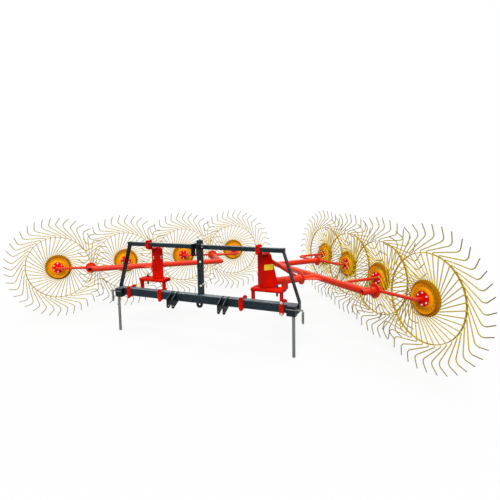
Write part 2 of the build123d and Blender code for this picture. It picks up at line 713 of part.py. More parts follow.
def upper_pivot_lug():
    """Rear clamp plate on the upper beam with the lug that holds the column's top pin."""
    half = LUG_PLATE_WIDTH / 2
    hang = UPPER_CLAMP_WIDTH / 2
    back = BEAM_BACK_Y + CLAMP_T
    body = strip(UPPER_CLAMP_X, UPPER_CLAMP_WIDTH, BEAM_BACK_Y, CLAMP_T, BAR_BOTTOM_Z, BAR_TOP_Z)
    body += block(UPPER_CLAMP_X - hang, UPPER_CLAMP_X + hang, BEAM_BACK_Y, back, LUG_PLATE_Z, BAR_BOTTOM_Z)
    body += block(PIVOT_X - half, PIVOT_X + half, back, PIVOT_Y, LUG_PLATE_Z, LUG_PLATE_Z + LUG_PLATE_T)
    ends = (PIVOT_X, PIVOT_Y, LUG_PLATE_Z), (PIVOT_X, PIVOT_Y, LUG_PLATE_Z + LUG_PLATE_T)
    return body + bar(*ends, half) - bar(*ends, PIVOT_PIN_R + RUNNING_GAP)


# Placing: the origin lies under the middle of the machine's box

wheel_depths = [arm_to_machine(*place)[1] for place in WHEEL_PLACES.values()]
MIDDLE_Y = (min(wheel_depths) + max(wheel_depths)) / 2
TO_ORIGIN = Pos(0, -MIDDLE_Y, 0)
RIGHT_ARM = TO_ORIGIN * Rot(0, 0, -RAKE_ANGLE)


def frame_nodes():
    shapes = {
        "lower_beam": [lower_beam()],
        "upper_beam": upper_beam(),
        "side_posts": side_posts(),
        "hitch_mast": [hitch_mast()],
        "top_link_ears": top_link_ears(),
        "lower_link_ears": lower_link_ears(),
        "beam_lug": [beam_lug()],
        "leg_sleeves": both_sides(leg_sleeve()),
        "leg_lock_pins": both_sides(leg_lock_pin()),
        "carrier_bases": both_sides(carrier_base()),
        "beam_clamps": beam_clamps(),
        "upper_pivot_lugs": both_sides(upper_pivot_lug()),
    }
    nodes = {name: [TO_ORIGIN * piece for piece in pieces] for name, pieces in shapes.items()}
    for side, leg in zip(("right", "left"), both_sides(parking_leg())):
        nodes[f"parking_leg_{side}"] = [TO_ORIGIN * leg]
    return nodes


def right_arm_nodes():
    """Pieces of the right arm by name, with the name of the side still to come."""
    shapes = {
        "column_{}": [column()],
        "outrigger_{}": [outrigger()],
        "arm_brace_{}": [arm_brace()],
        "arm_tube_{}": [arm_tube()],
        "cross_tube_front_{}": [cross_tube_front()],
        "cross_tube_rear_{}": [cross_tube_rear()],
    }
    wheel_pieces = {
        "tines": [tine_wheel()],
        "hub_plates": [hub_plate(FRONT_PLATE_R, 1), hub_plate(REAR_PLATE_R, -1)],
        "hub_bearing": [hub_bearing()],
    }
    for place, wheels in CROSS_TUBES.items():
        for wheel in wheels:
            shapes["crank_{}_" + wheel] = [crank(place, wheel)]
    for wheel, (s, q) in WHEEL_PLACES.items():
        hub = Plane(origin=(s, q, AXLE_Z), x_dir=(1, 0, 0), z_dir=(0, -1, 0))
        for name, pieces in wheel_pieces.items():
            shapes[name + "_{}_" + wheel] = [hub.location * piece for piece in pieces]
    return {name: [RIGHT_ARM * piece for piece in pieces] for name, pieces in shapes.items()}


nodes = frame_nodes()
for name, pieces in right_arm_nodes().items():
    nodes[name.format("right")] = pieces
    nodes[name.format("left")] = [mirror(piece, about=Plane.YZ) for piece in pieces]

os.makedirs("parts", exist_ok=True)
for name, pieces in nodes.items():
    solids = [solid for piece in pieces for solid in piece.solids()]
    export_step(solids[0] if len(solids) == 1 else Compound(solids), f"parts/{name}.step")
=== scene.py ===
"""Dresses the wheel rake: round spring tines, hub fittings, bolts, welds, paint and studio."""
import json
import math
import random

import bmesh
import bpy
from mathutils import Matrix, Vector

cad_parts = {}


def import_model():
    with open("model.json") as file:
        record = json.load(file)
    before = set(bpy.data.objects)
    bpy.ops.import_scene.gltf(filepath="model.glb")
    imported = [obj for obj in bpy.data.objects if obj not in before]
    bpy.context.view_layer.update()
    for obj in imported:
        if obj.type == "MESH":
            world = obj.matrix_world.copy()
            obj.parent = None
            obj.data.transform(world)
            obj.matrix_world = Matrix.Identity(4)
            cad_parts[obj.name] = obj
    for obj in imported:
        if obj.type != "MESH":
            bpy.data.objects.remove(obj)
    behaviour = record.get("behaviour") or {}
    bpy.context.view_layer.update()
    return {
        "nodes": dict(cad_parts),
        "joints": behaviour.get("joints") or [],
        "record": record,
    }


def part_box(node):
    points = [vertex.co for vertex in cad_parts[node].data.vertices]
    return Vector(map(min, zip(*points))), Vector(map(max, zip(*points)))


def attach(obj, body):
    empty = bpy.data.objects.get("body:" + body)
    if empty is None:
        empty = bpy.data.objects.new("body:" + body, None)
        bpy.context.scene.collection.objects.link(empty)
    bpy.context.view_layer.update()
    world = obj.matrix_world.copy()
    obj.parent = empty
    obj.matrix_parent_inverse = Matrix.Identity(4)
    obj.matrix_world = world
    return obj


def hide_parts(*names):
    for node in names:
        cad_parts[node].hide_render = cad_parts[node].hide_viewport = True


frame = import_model()

# Lengths are metres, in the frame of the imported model. Angles are degrees.
NODES = frame["nodes"]
JOINTS = {joint["name"]: joint for joint in frame["joints"]}
SIDES = {"right": 1, "left": -1}
WHEEL_NUMBERS = (1, 2, 3, 4)
UP = Vector((0, 0, 1))
MACHINE_SHIFT_Y = -1.36121      # from the hitch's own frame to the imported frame
WELD_GAP = 1e-5                 # vertices nearer than this are one
ARC_STEP = 12.0
SMOOTH_BOLT = 30.0              # edges that bend by more than this stay sharp
SMOOTH_USUAL = 40.0
SMOOTH_ROUND = 60.0

# Camera of the photograph
CAMERA_PLACE = (2.519, -5.336, 1.7355)
CAMERA_YAW = 24.75
CAMERA_DIP = 5.81
CAMERA_ROLL = -1.0
SENSOR = 36.0
LENS = 29.58
CAMERA_SHIFT_Y = -0.0319

# Tined wheel, drawn about its own axle
TINE_COUNT = 40
WIRE_R = 0.0052
WIRE_SIDES = 8
SPOKE_OFFSET = 0.132    # how far a spoke passes from the axle
BEND_R = 0.452
ELBOW_R = 0.604
ELBOW_TRAIL = 27.4
TIP_R = 0.709
TIP_TRAIL = 22.0
BEND_FILLET = 0.018
ELBOW_FILLET = 0.050
SWAY = 0.7              # how far a tine's angle strays
TIP_STRAY = 0.006       # how far a tip strays along the axle
HOOP_R = 0.432
HOOP_SHEET = 0.006
HOOP_FRONT = -0.0035
HOOP_BACK = -0.0275
HOOP_SEGMENTS = 120
NUGGET_R = 0.0065       # weld between a tine and the hoop
NUGGET_REACHES = (-0.008, -0.003, 0.003, 0.008)
NUGGET_SHARES = (0.5, 1.0, 1.0, 0.5)
NUGGET_SIDES = 8
TIP_SHARE = 0.8         # a tip's share of the wire's radius

# Hub
FLANGE_FACE = 0.0305
REAR_FACE = -0.0225
HUB_BOLT_RING = 0.058
HUB_BOLT_COUNT = 6
HUB_BOLT_SIZE = 0.013
CLAMP_RING = 0.108      # inner end of the plates' pressed ribs
CLAMP_EDGE = 0.130      # where the plates start to flare
CLAMP_FACE = 0.0075     # outer face of the flat ring, from the tines' plane
FLARE = 0.009
PLATE_SHEET = 0.004
ROLL_SEGMENTS = 64
FRONT_RIM = 0.152
REAR_RIM = 0.176
RIB_R = 0.0026
ROLL_R = 0.0036         # rolled edge of a plate
ROLL_TURN = 45
EYELET_RING = 0.119
EYELET_R = 0.0042
EYELET_PROFILE = ((1.0, 0.0), (1.0, 0.0004), (0.7, 0.0006))    # share of the radius, height
EYELET_STEPS = 10
HUB_BOLT_STUB = 0.006
RIB_SHARES = (0.7, 1.0, 0.8)
RIB_SIDES = 6
PLATE_RIMS = ((1, FRONT_RIM), (-1, REAR_RIM))   # the way each plate faces, its rim
SPRAY_SHADE_INSIDE = 0.006    # the hub's paint on the wires, darkened as painted shade between the plates, ends round the rear plate's rim
SPRAY_SHADE_OUTSIDE = 0.010

# Bolts, as shares of the size across the flats
WASHER_PROFILE = ((0.78, 0.0), (0.78, 0.10), (0.72, 0.13))      # radius, height
WASHER_STEPS = 16
HEAD_LOW = 0.13
HEAD_TOP = 0.75
HEAD_CHAMFER = 0.08
HEAD_CROWN = 0.86       # the top's share of the radius over the corners
HEAD_SIDES = 6
THREAD_R = 0.31
THREAD_TAPER = 0.8
THREAD_STEPS = 12
NUT_STUB = 0.4          # bolt's end past its nut
SHANK_R = 0.3
SHANK_SIDES = 10

# Frame fittings
CLAMP_BOLT_SIZE = 0.020
CLAMP_BOLT_INSET = 0.015        # end of a clamp's strip to its bolt
MAST_BOLT_SIZE = 0.018
MAST_BOLT_HEIGHTS = (0.660, 0.943)
MAST_BOLT_SHIFT = 0.018
MAST_SIDE_BOLT_Z = 0.674
EAR_BOLT_SIZE = 0.013
EAR_BOLT_INSET = 0.008          # rear edge of an ear to its bolts
EAR_BOLT_DROPS = (0.018, 0.048)
LOOP_R = 0.005                  # rod of a lock pin's loop in front of the sleeve
LOOP_BEND = 0.014
LOOP_SIDES = 10
COIL_R = 0.0105                 # line of the wire wound on a lock pin's grip
COIL_WIRE = 0.0046
COIL_PITCH = 0.0125
COIL_MARGIN = 0.012
COIL_STEPS = 12                 # points in one turn of the wire
COIL_SIDES = 6
SWING_PIN_X = 0.8963
SWING_PIN_Y = 0.2413 + MACHINE_SHIFT_Y
SWING_PIN_R = 0.0118
SWING_PIN_LOW = 0.5692
SWING_BENCH_LOW = 0.6190
SWING_BENCH_TOP = 0.6612
SWING_PIN_TOP = 0.7010
SWING_PIN_CHAMFER = 0.8         # an end's share of the radius
SWING_PIN_STEPS = 16
BEAD_R = 0.0042
BEAD_LUMPS = (0.8, 1.12)        # least and most share of a bead's radius
BEAD_END = 0.6
BEAD_STEP = 0.005
BEAD_TURN = 6
BEAD_SIDES = 6

# Arms, in the frame of one arm: q runs across the wheels to the rear
RAKE_ANGLE = 40.0
MACHINE_FRONT = Vector((0, MACHINE_SHIFT_Y, 0))
PIVOT_S = 0.405
AXLE_Z = JOINTS["wheel_right_1_spin"]["pos_m"][2]
OUTRIGGER_R = 0.0445
COLUMN_BACK_Q = 0.805           # column's rear face at the outrigger
COLUMN_BACK_TILT = 13.8
END_FLANGE_Q = 1.150
END_FLANGE_T = 0.012
NECK_R = 0.03015

# Label on the right column's outer face
LABEL_LOW = 0.866
LABEL_HEIGHT = 0.063
LABEL_WIDTH = 0.112
LABEL_FRONT_GAP = 0.016
LABEL_THICK = 0.0008
LABEL_CORNER = 0.006

# Softened edges of the solids
EDGE_ROUND = 0.0018
EDGE_ANGLE = 38.0
EDGE_SEGMENTS = 2

# Grain of the finishes, as scales of noise
CLOUD_GRAIN = 5.0
FILM_GRAIN = 38.0
DUST_GRAIN = 14.0
SCUFF_GRAIN = 55.0
SHEEN_GRAIN = 24.0
PEEL_GRAIN = 320.0
SPANGLE_GRAIN = 140.0
ZINC_SHEEN_GRAIN = 60.0
DRAWN_GRAIN = 420.0
WIRE_GRAIN = 22.0
COAT_GRAIN = 500.0

# Strength of the finishes
FILM_MOST = 0.09
UPPER_FROM = 0.45       # faces that look up by more than this gather dust and a painted sheen
SCUFF_MOST = 0.8
ZINC_METAL = 0.8
WIRE_SPECULAR = 0.06

# Studio
WHITE = (1.0, 1.0, 1.0, 1.0)
SKY_COLOUR = (0.95, 0.97, 1.0, 1.0)
SKY_STRENGTH = 0.20
FLOOR_REACH = 40.0
FLOOR_PALE = (0.80, 0.80, 0.80)
FLOOR_GREY = (0.30, 0.30, 0.30)
SHADOW_NEAR = 3.0       # the floor's shadow fades between these distances
SHADOW_FAR = 6.0
NEAR_WHITENESS = 0.86


# Mesh builders

def ring(bm, centre, across, along, radius, sides):
    """Closed ring of vertices."""
    turns = [2 * math.pi * index / sides for index in range(sides)]
    spokes = [across * math.cos(turn) + along * math.sin(turn) for turn in turns]
    return [bm.verts.new(centre + spoke * radius) for spoke in spokes]


def bridge(bm, first, second):
    """Band of faces between two rings of equal length."""
    count = len(first)
    for index in range(count):
        following = (index + 1) % count
        bm.faces.new((first[index], first[following], second[following], second[index]))


def sweep(bm, points, radii, sides):
    """Round rod along points, with one radius per point, closed at both ends."""
    runs = [(b - a).normalized() for a, b in zip(points, points[1:])]
    tangents = [runs[0]] + [(a + b).normalized() for a, b in zip(runs, runs[1:])] + [runs[-1]]
    across = tangents[0].orthogonal().normalized()
    rings = []
    for point, tangent, radius in zip(points, tangents, radii):
        across = (across - tangent * across.dot(tangent)).normalized()
        rings.append(ring(bm, point, across, tangent.cross(across), radius, sides))
    for first, second in zip(rings, rings[1:]):
        bridge(bm, first, second)
    bm.faces.new(rings[0][::-1])
    bm.faces.new(rings[-1])


def rod(bm, points, radius, sides):
    """Round rod of one radius."""
    sweep(bm, points, [radius] * len(points), sides)


def lathe(bm, matrix, profile, steps, closed=False):
    """Turns a profile of radius and height about the matrix's z axis."""
    centre, x, y, z = matrix.translation, *(matrix.col[i].to_3d() for i in range(3))
    rings = [ring(bm, centre + z * height, x, y, radius, steps) for radius, height in profile]
    for first, second in zip(rings, rings[1:]):
        bridge(bm, first, second)
    if closed:
        bridge(bm, rings[-1], rings[0])
    else:
        bm.faces.new(rings[0][::-1])
        bm.faces.new(rings[-1])


def rounded(points, fillets):
    """Polyline with an arc of the given radius at each inner corner."""
    path = [points[0]]
    for before, corner, after, radius in zip(points, points[1:], points[2:], fillets):
        a, b = (before - corner).normalized(), (after - corner).normalized()
        half = a.angle(b) / 2
        middle = (a + b).normalized()
        centre = corner + middle * (radius / math.sin(half))
        start = corner + a * (radius / math.tan(half)) - centre
        end = corner + b * (radius / math.tan(half)) - centre
        turn = start.angle(end)
        axis = start.cross(end).normalized()
        count = max(2, round(math.degrees(turn) / ARC_STEP))
        turns = [turn * index / count for index in range(count + 1)]
        path += [centre + Matrix.Rotation(angle, 3, axis) @ start for angle in turns]
    return path + [points[-1]]


def polar(radius, angle):
    """Point at a radius and an angle about the z axis."""
    turn = math.radians(angle)
    return Vector((radius * math.cos(turn), radius * math.sin(turn), 0))


def facing(place, normal):
    """Matrix at a place with its z axis along a normal."""
    z = Vector(normal).normalized()
    x = UP.cross(z)
    x = x.normalized() if x.length > 1e-6 else Vector((1, 0, 0))
    rotation = Matrix((x, z.cross(x), z)).transposed()
    return Matrix.Translation(place) @ rotation.to_4x4()


def hex_head(bm, matrix, size, stub=0.0):
    """Chamfered hexagon on a washer, size across its flats, with a bolt's end where it is a nut."""
    washer = [(size * radius, size * height) for radius, height in WASHER_PROFILE]
    lathe(bm, matrix, washer, WASHER_STEPS)
    corner = size / math.sqrt(3)
    low = size * HEAD_LOW
    high = size * HEAD_TOP
    head = [(corner, low), (corner, high - size * HEAD_CHAMFER), (corner * HEAD_CROWN, high)]
    lathe(bm, matrix, head, HEAD_SIDES)
    if stub:
        radius = size * THREAD_R
        thread = [(radius, low), (radius, high + stub * THREAD_TAPER), (radius * THREAD_TAPER, high + stub)]
        lathe(bm, matrix, thread, THREAD_STEPS)


def tie_bolt(heads, shanks, front, back, size):
    """Bolt between two points: head in front, nut behind and the shank between them."""
    way = back - front
    hex_head(heads, facing(front, -way), size)
    hex_head(heads, facing(back, way), size, stub=size * NUT_STUB)
    rod(shanks, [front, back], size * SHANK_R, SHANK_SIDES)


def bead(bm, points, rng):
    """Lumpy weld bead along a line of points."""
    path = []
    for start, end in zip(points, points[1:]):
        count = max(1, round((end - start).length / BEAD_STEP))
        path += [start.lerp(end, index / count) for index in range(count)]
    path.append(points[-1])
    radii = [BEAD_R * rng.uniform(*BEAD_LUMPS) for _ in path]
    radii[0] = radii[-1] = BEAD_R * BEAD_END
    sweep(bm, path, radii, BEAD_SIDES)


def bead_ring(bm, matrix, radius, rng):
    """Lumpy weld bead round a tube whose axis is the matrix's z."""
    bead(bm, [matrix @ polar(radius, angle) for angle in range(0, 361, BEAD_TURN)], rng)


def solids(node):
    """Lowest and highest corners of each separate solid of a node, from left to right."""
    bm = bmesh.new()
    bm.from_mesh(NODES[node].data)
    bmesh.ops.remove_doubles(bm, verts=bm.verts, dist=WELD_GAP)
    left = set(bm.verts)
    boxes = []
    while left:
        queue = [left.pop()]
        group = []
        while queue:
            vert = queue.pop()
            group.append(vert.co.copy())
            near = {edge.other_vert(vert) for edge in vert.link_edges} & left
            left -= near
            queue += near
        axes = list(zip(*group))
        boxes.append((Vector(map(min, axes)), Vector(map(max, axes))))
    bm.free()
    return sorted(boxes, key=lambda box: (round(box[0].x, 4), round(box[0].z, 4)))


def piece(name, bm, body, material, matrix=None, smooth=SMOOTH_USUAL):
    """Object made from a mesh, placed, shaded and fixed to its body."""
    bmesh.ops.recalc_face_normals(bm, faces=bm.faces)
    mesh = bpy.data.meshes.new(name)
    bm.to_mesh(mesh)
    bm.free()
    mesh.shade_smooth()
    mesh.set_sharp_from_angle(angle=math.radians(smooth))
    mesh.materials.append(material)
    obj = bpy.data.objects.new(name, mesh)
    bpy.context.scene.collection.objects.link(obj)
    if matrix is not None:
        obj.matrix_world = matrix
    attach(obj, body)
    return obj


# Materials

def new_material(name):
    """Material with its node tree and main shader."""
    material = bpy.data.materials.new(name)
    material.use_nodes = True
    tree = material.node_tree
    return material, tree, tree.nodes["Principled BSDF"]


def noise(tree, place, scale, detail=4.0):
    """Cloudy value from 0 to 1."""
    node = tree.nodes.new("ShaderNodeTexNoise")
    node.inputs["Scale"].default_value = scale
    node.inputs["Detail"].default_value = detail
    tree.links.new(place, node.inputs["Vector"])
    return node.outputs["Fac"]


def span(tree, value, low, high, to_low, to_high):
    """Maps a value's range to another, held at both ends."""
    node = tree.nodes.new("ShaderNodeMapRange")
    tree.links.new(value, node.inputs["Value"])
    ends = {"From Min": low, "From Max": high, "To Min": to_low, "To Max": to_high}
    for name, number in ends.items():
        node.inputs[name].default_value = number
    return node.outputs["Result"]


def combine(tree, operation, first, second):
    """One number made from two."""
    node = tree.nodes.new("ShaderNodeMath")
    node.operation = operation
    tree.links.new(first, node.inputs[0])
    tree.links.new(second, node.inputs[1])
    return node.outputs["Value"]


def blend_colours(tree, factor, first, second):
    """Mixes two colours, each a fixed one or another node's output."""
    node = tree.nodes.new("ShaderNodeMix")
    node.data_type = "RGBA"
    tree.links.new(factor, node.inputs["Factor"])
    for socket, colour in ((node.inputs[6], first), (node.inputs[7], second)):
        if isinstance(colour, tuple):
            socket.default_value = (*colour, 1.0)
        else:
            tree.links.new(colour, socket)
    return node.outputs[2]


def bump(tree, shader, height, strength, depth):
    """Fine relief of a shader, from a height."""
    node = tree.nodes.new("ShaderNodeBump")
    node.inputs["Strength"].default_value = strength
    node.inputs["Distance"].default_value = depth
    tree.links.new(height, node.inputs["Height"])
    tree.links.new(node.outputs["Normal"], shader.inputs["Normal"])


def distance(tree, place):
    """How far a point lies from the origin of its object."""
    node = tree.nodes.new("ShaderNodeVectorMath")
    node.operation = "LENGTH"
    tree.links.new(place, node.inputs[0])
    return node.outputs["Value"]


def upward_part(tree, coordinates):
    """How far a face looks up in its own object, from -1 to 1."""
    split = tree.nodes.new("ShaderNodeSeparateXYZ")
    tree.links.new(coordinates.outputs["Normal"], split.inputs["Vector"])
    return split.outputs["Z"]


def paint(name, colour, shade, dust_and_sheen, worn, roughness, specular, top_sheen_and_dust=0.0):
    """Sprayed enamel: cloudy tone, dust and a painted sheen on upper faces, a few scuffs and orange peel.
    """
    material, tree, shader = new_material(name)
    coordinates = tree.nodes.new("ShaderNodeTexCoord")
    place = coordinates.outputs["Object"]
    cloud = span(tree, noise(tree, place, CLOUD_GRAIN), 0.35, 0.65, 0.0, 1.0)
    tone = blend_colours(tree, cloud, colour, shade)
    film = span(tree, noise(tree, place, FILM_GRAIN, 6.0), 0.45, 0.8, 0.0, FILM_MOST)
    # upper faces lighten towards the fourth colour: settled dust and a painted highlight of the light from
    # above
    if top_sheen_and_dust:
        upper = span(tree, upward_part(tree, coordinates), UPPER_FROM, 1.0, 0.0, top_sheen_and_dust)
        upper_sheen_and_dust = combine(tree, "MULTIPLY", upper, noise(tree, place, DUST_GRAIN))
        film = combine(tree, "ADD", film, upper_sheen_and_dust)
    tone = blend_colours(tree, film, tone, dust_and_sheen)
    scuff = span(tree, noise(tree, place, SCUFF_GRAIN, 8.0), 0.70, 0.76, 0.0, SCUFF_MOST)
    tree.links.new(blend_colours(tree, scuff, tone, worn), shader.inputs["Base Color"])
    gloss = span(tree, noise(tree, place, SHEEN_GRAIN), 0.3, 0.7, roughness - 0.06, roughness + 0.10)
    tree.links.new(gloss, shader.inputs["Roughness"])
    bump(tree, shader, noise(tree, place, PEEL_GRAIN, 2.0), 0.12, 0.0006)
    shader.inputs["Specular IOR Level"].default_value = specular
    return material


def zinc(name, colour, shade, roughness):
    """Zinc coated steel: spangled grey with fine drawn lines."""
    material, tree, shader = new_material(name)
    place = tree.nodes.new("ShaderNodeTexCoord").outputs["Object"]
    cells = tree.nodes.new("ShaderNodeTexVoronoi")
    cells.inputs["Scale"].default_value = SPANGLE_GRAIN
    tree.links.new(place, cells.inputs["Vector"])
    spangle = span(tree, cells.outputs["Distance"], 0.0, 0.8, 0.0, 1.0)
    tree.links.new(blend_colours(tree, spangle, colour, shade), shader.inputs["Base Color"])
    sheen = noise(tree, place, ZINC_SHEEN_GRAIN)
    gloss = span(tree, sheen, 0.3, 0.7, roughness - 0.08, roughness + 0.12)
    tree.links.new(gloss, shader.inputs["Roughness"])
    bump(tree, shader, noise(tree, place, DRAWN_GRAIN, 3.0), 0.10, 0.0004)
    shader.inputs["Metallic"].default_value = ZINC_METAL
    return material


def wire_paint(name, colour, shade, root, tip):
    """Coated spring wire with the hub's paint, darkened as painted shade between the plates, at its root,
    dark and dull towards its tip.
    """
    material, tree, shader = new_material(name)
    place = tree.nodes.new("ShaderNodeTexCoord").outputs["Object"]
    from_axle = distance(tree, place)
    patchy = noise(tree, place, WIRE_GRAIN, 5.0)
    coat = blend_colours(tree, span(tree, patchy, 0.35, 0.65, 0.0, 1.0), colour, shade)
    # roots take the darker hub colour: hub paint, and painted shade between the plates
    sprayed_and_shaded = span(tree, from_axle, REAR_RIM - SPRAY_SHADE_INSIDE, REAR_RIM + SPRAY_SHADE_OUTSIDE, 1.0, 0.0)
    coat = blend_colours(tree, sprayed_and_shaded, coat, root)
    worn = span(tree, from_axle, ELBOW_R - ELBOW_FILLET, TIP_R, 0.0, 1.0)
    tree.links.new(blend_colours(tree, worn, coat, tip), shader.inputs["Base Color"])
    gloss = span(tree, patchy, 0.3, 0.7, 0.34, 0.52)
    tree.links.new(gloss, shader.inputs["Roughness"])
    bump(tree, shader, noise(tree, place, COAT_GRAIN, 2.0), 0.10, 0.0003)
    shader.inputs["Specular IOR Level"].default_value = WIRE_SPECULAR
    return material


# On the frame, black, arm and column paints the fourth colour, laid on upper faces, is dust and a painted
# highlight of the light from above
FRAME_PAINT = paint("frame_paint", (0.010, 0.021, 0.028), (0.007, 0.014, 0.019), (0.28, 0.35, 0.385),
                    (0.06, 0.075, 0.08), 0.36, 0.13, top_sheen_and_dust=1.1)
BLACK_PAINT = paint("black_paint", (0.006, 0.010, 0.012), (0.004, 0.006, 0.008), (0.20, 0.24, 0.26),
                    (0.05, 0.05, 0.05), 0.36, 0.15, top_sheen_and_dust=0.9)
ARM_PAINT = paint("arm_paint", (0.80, 0.034, 0.006), (0.66, 0.018, 0.004), (0.86, 0.16, 0.06),
                  (0.34, 0.02, 0.010), 0.32, 0.20, top_sheen_and_dust=0.7)
COLUMN_PAINT = paint("column_paint", (0.76, 0.007, 0.001), (0.56, 0.004, 0.001), (0.76, 0.03, 0.008),
                     (0.30, 0.008, 0.004), 0.42, 0.03, top_sheen_and_dust=0.5)
HUB_PAINT = paint("hub_paint", (1.0, 0.42, 0.003), (0.86, 0.30, 0.002), (0.92, 0.46, 0.015),
                  (0.34, 0.13, 0.004), 0.40, 0.06)
# Dark brown painted shade for the plates' rolled edges, where shade falls between the two plates
HUB_EDGE_SHADE = paint("hub_edge_shade", (0.42, 0.18, 0.003), (0.28, 0.11, 0.002), (0.48, 0.24, 0.01),
                 (0.16, 0.06, 0.004), 0.44, 0.06)
BEARING_PAINT = paint("bearing_paint", (0.95, 0.004, 0.006), (0.78, 0.003, 0.004), (0.88, 0.03, 0.02),
                      (0.40, 0.01, 0.010), 0.34, 0.08)
RIM_PAINT = paint("rim_paint", (0.66, 0.43, 0.006), (0.46, 0.28, 0.004), (0.64, 0.46, 0.02),
                  (0.18, 0.10, 0.010), 0.40, 0.08)
LABEL_FILM = paint("label_film", (0.98, 0.70, 0.040), (0.92, 0.63, 0.030), (0.92, 0.72, 0.12),
                   (0.70, 0.50, 0.10), 0.45, 0.05)
# The third colour is the roots' darker hub colour, partly painted shade between the hub plates
WIRE = wire_paint("tine_wire", (0.76, 0.55, 0.010), (0.64, 0.45, 0.008), (0.62, 0.25, 0.004),
                  (0.20, 0.16, 0.03))
STEEL = zinc("steel", (0.21, 0.235, 0.22), (0.14, 0.16, 0.15), 0.46)
DARK_STEEL = zinc("dark_steel", (0.09, 0.10, 0.105), (0.05, 0.055, 0.06), 0.45)
ZINC = zinc("bolt_zinc", (0.78, 0.74, 0.66), (0.60, 0.56, 0.48), 0.34)
# Dark discs that stand for the shade inside the hub's eyelet holes
HOLE_SHADE = paint("hole_shade", (0.06, 0.022, 0.004), (0.03, 0.012, 0.003), (0.08, 0.03, 0.01),
                  (0.05, 0.02, 0.01), 0.60, 0.10)

SLOT_MATERIALS = {
    "frame_paint": FRAME_PAINT,
    "arm_paint": ARM_PAINT,
    "column_paint": COLUMN_PAINT,
    "hub_paint": HUB_PAINT,
    "bearing_paint": BEARING_PAINT,
    "tine_wire": WIRE,
    "steel": STEEL,
}
BLACK_NODES = ("side_posts", "leg_sleeves", "lower_link_ears", "top_link_ears", "beam_lug")


def dress_nodes():
    """Gives every carried-over solid its finish and slightly rounded edges."""
    slots = {row["node"]: row["material_slot"] for row in frame["record"]["subparts"]}
    for name, obj in NODES.items():
        material = BLACK_PAINT if name in BLACK_NODES else SLOT_MATERIALS[slots[name]]
        obj.data.materials.clear()
        obj.data.materials.append(material)
        weld = obj.modifiers.new("weld", "WELD")
        weld.merge_threshold = WELD_GAP
        bevel = obj.modifiers.new("bevel", "BEVEL")
        bevel.width = EDGE_ROUND
        bevel.segments = EDGE_SEGMENTS
        bevel.limit_method = "ANGLE"
        bevel.angle_limit = math.radians(EDGE_ANGLE)


# Tined wheels

def wheel_place(side, number):
    """Matrix of a wheel: its axle on z with the front towards +z, and y upward."""
    joint = JOINTS[f"wheel_{side}_{number}_spin"]
    return facing(joint["pos_m"], -Vector(joint["axis"]))


def wheel_piece(name, bm, side, number, material, smooth=SMOOTH_USUAL):
    """Piece drawn about a wheel's axle and fixed to that wheel."""
    return piece(f"{name}_{side}_{number}", bm, f"wheel_{side}_{number}", material,
                 wheel_place(side, number), smooth)


def tine_turns():
    """Angle about the axle of each tine's bend."""
    step = 360 / TINE_COUNT
    return [step * (index + 0.5) + TIP_TRAIL - 90 for index in range(TINE_COUNT)]


def spoke_turn(radius):
    """Angle about the axle from a spoke's root to where it reaches a radius."""
    return math.degrees(math.acos(SPOKE_OFFSET / radius))


def tine_path(rng):
    """One tine with its bend at the rim on x, strayed a little from the drawn shape."""
    elbow = ELBOW_TRAIL + rng.uniform(-SWAY, SWAY)
    tip = TIP_TRAIL + rng.uniform(-SWAY, SWAY)
    root = polar(SPOKE_OFFSET, -spoke_turn(BEND_R))
    corners = [root, polar(BEND_R, 0), polar(ELBOW_R, -elbow), polar(TIP_R, -tip)]
    lean = rng.uniform(-TIP_STRAY, TIP_STRAY)
    path = rounded(corners, [BEND_FILLET, ELBOW_FILLET])
    for point in path:
        share = max(0.0, (point.length - BEND_R) / (TIP_R - BEND_R))
        point.z += lean * share
    return path


def tines(side, number):
    """Forty round tines of one wheel."""
    rng = random.Random(f"{side} {number}")
    hand = Matrix.Scale(SIDES[side], 4, (1, 0, 0))
    bm = bmesh.new()
    for angle in tine_turns():
        turn = Matrix.Rotation(math.radians(angle), 4, "Z")
        path = [hand @ turn @ point for point in tine_path(rng)]
        radii = [WIRE_R] * (len(path) - 1) + [WIRE_R * TIP_SHARE]
        sweep(bm, path, radii, WIRE_SIDES)
    node = f"tines_{side}_{number}"
    obj = wheel_piece("wires", bm, side, number, WIRE, SMOOTH_ROUND)
    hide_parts(node)


def spoke_angles(side, radius):
    """Angle about the axle at which each tine's spoke crosses a radius."""
    lag = spoke_turn(BEND_R) - spoke_turn(radius)
    angles = [angle - lag for angle in tine_turns()]
    return angles if side == "right" else [180 - angle for angle in angles]


def hoop(side, number):
    """Flat rim strip behind the tines, with a weld at each tine."""
    half = HOOP_SHEET / 2
    lip = HOOP_SHEET / 6
    profile = [
        (HOOP_R - half, HOOP_BACK + lip),
        (HOOP_R - half + lip, HOOP_BACK),
        (HOOP_R + half - lip, HOOP_BACK),
        (HOOP_R + half, HOOP_BACK + lip),
        (HOOP_R + half, HOOP_FRONT - lip),
        (HOOP_R + half - lip, HOOP_FRONT),
        (HOOP_R - half + lip, HOOP_FRONT),
        (HOOP_R - half, HOOP_FRONT - lip),
    ]
    bm = bmesh.new()
    lathe(bm, Matrix.Identity(4), profile, HOOP_SEGMENTS, closed=True)
    for angle in spoke_angles(side, HOOP_R):
        spots = [polar(HOOP_R + reach, angle) + UP * HOOP_FRONT for reach in NUGGET_REACHES]
        sweep(bm, spots, [NUGGET_R * share for share in NUGGET_SHARES], NUGGET_SIDES)
    obj = wheel_piece("rim", bm, side, number, RIM_PAINT)
    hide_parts(f"tines_{side}_{number}")


